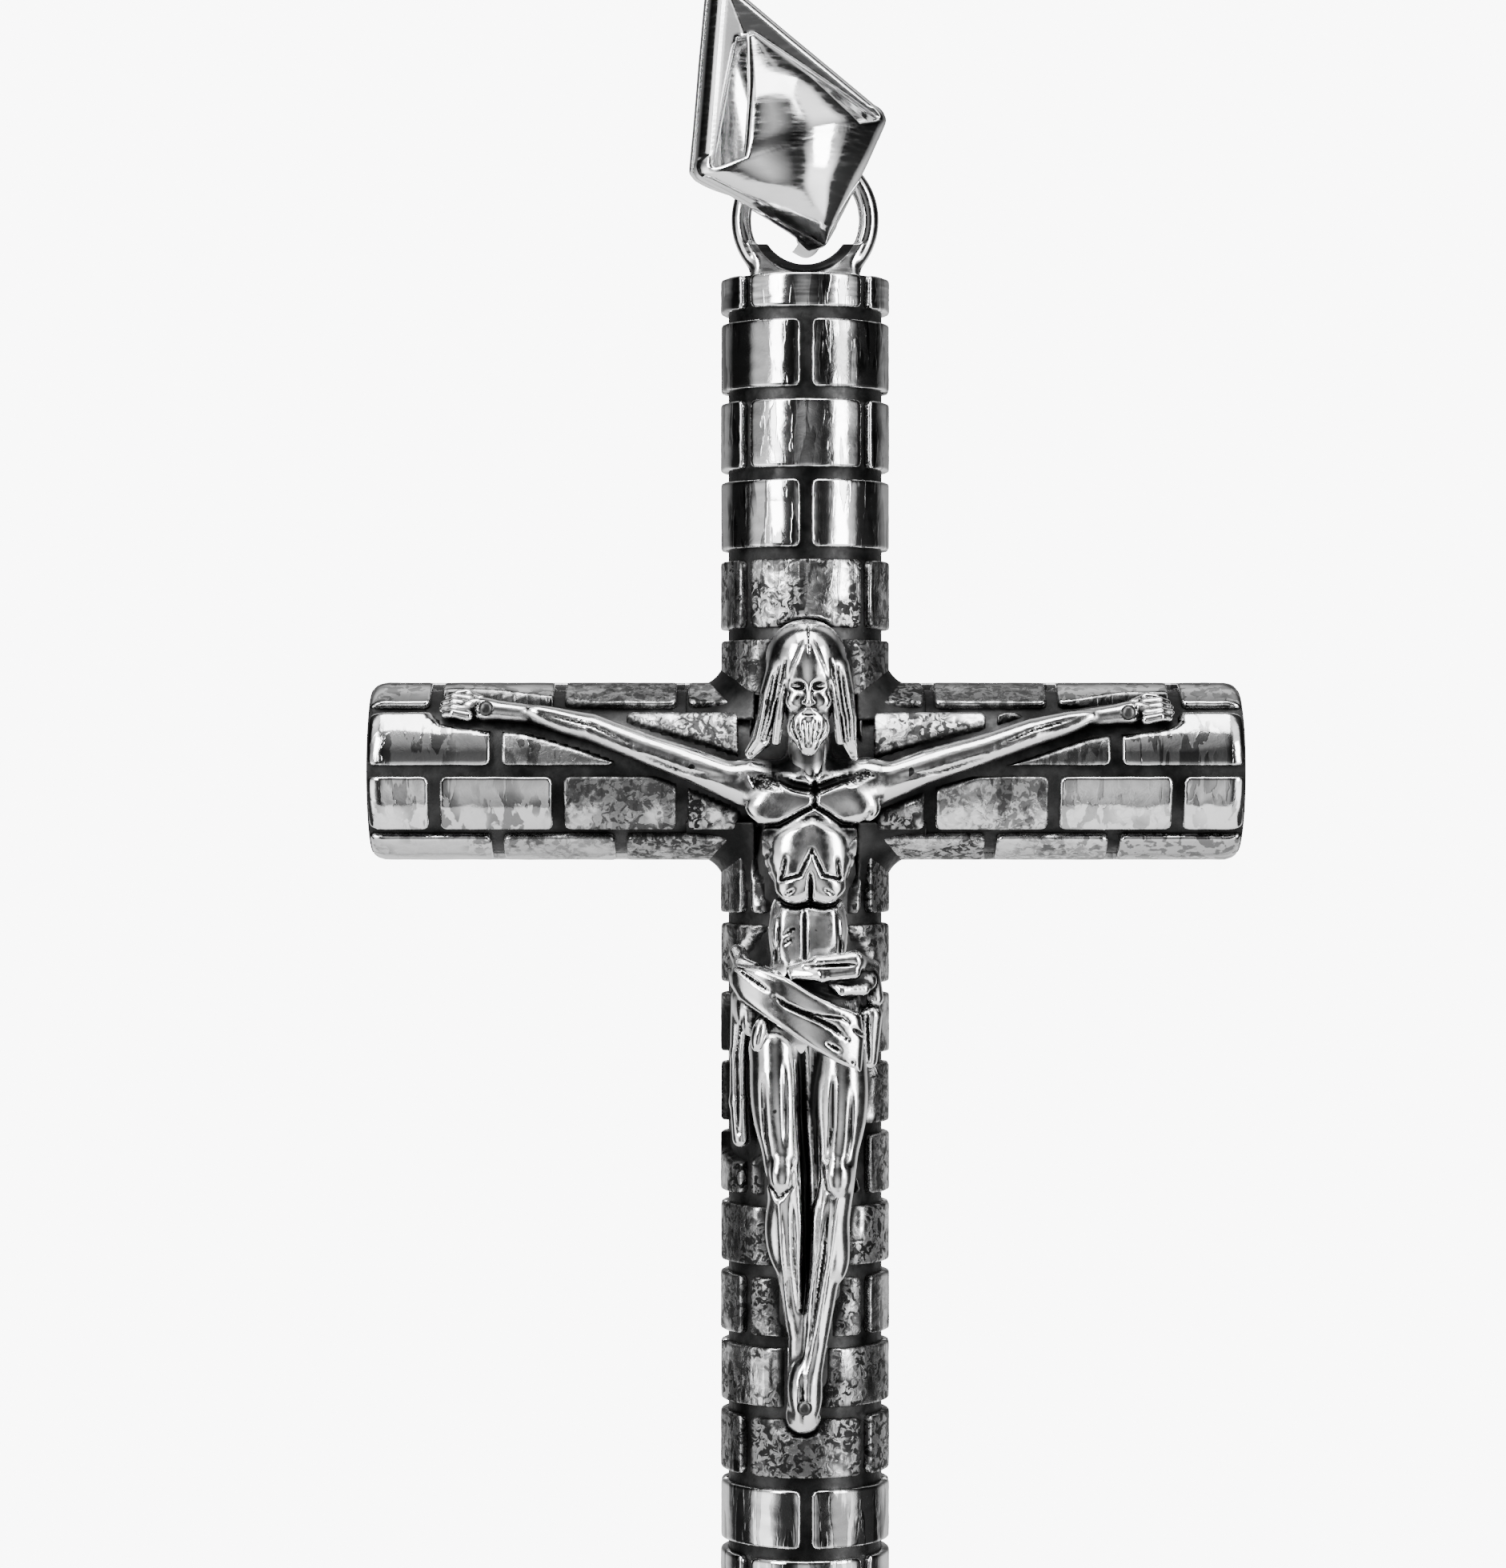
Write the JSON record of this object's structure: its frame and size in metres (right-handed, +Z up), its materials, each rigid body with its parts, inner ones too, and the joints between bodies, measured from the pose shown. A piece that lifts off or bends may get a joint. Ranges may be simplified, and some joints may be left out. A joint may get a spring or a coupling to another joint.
{
  "type": "crucifix pendant",
  "caption": "Silver crucifix pendant: brick-relief round tube cross with a cast figure, hung from a ring eye in a folded kite-shaped bail.",
  "frame": {"origin": "middle of the bail's chain passage, where the chain bears", "axes": "+X to the viewer's right along the crossbar, -Y out of the front where the figure is, +Z up the shaft"},
  "size_m": [0.0451, 0.0128, 0.0916],
  "materials": {
    "polished_silver": "mirror-polished silver with fine handling scratches",
    "brick_silver": "polished brick faces, some etched and darkened",
    "oxidised_silver": "matt, blackened (oxidised) ground between the bricks",
    "figure_silver": "cast, polished on the high places and darkened in the hollows"
  },
  "bodies": {
    "bail": {"bail_front": "polished_silver", "bail_back": "polished_silver"},
    "cross": {"suspension_eye": "polished_silver", "top_cap": "oxidised_silver", "bottom_cap": "oxidised_silver", "left_cap": "oxidised_silver", "right_cap": "oxidised_silver", "crossbar_tube": "oxidised_silver", "upper_shaft_tube": "oxidised_silver", "lower_shaft_tube": "oxidised_silver", "upper_shaft_bricks": "brick_silver", "lower_shaft_bricks": "brick_silver", "left_arm_bricks": "brick_silver", "right_arm_bricks": "brick_silver", "crossing_bricks": "brick_silver", "corpus": "figure_silver", "hand_nails": "figure_silver", "feet_nail": "figure_silver"}
  },
  "joints": [
    {"name": "bail_swing", "type": "hinge", "parent": "bail", "child": "cross", "pos_m": [0.0027, 0, -0.00785], "axis": [0, 1, 0], "range_deg": [-69, 31]}
  ]
}
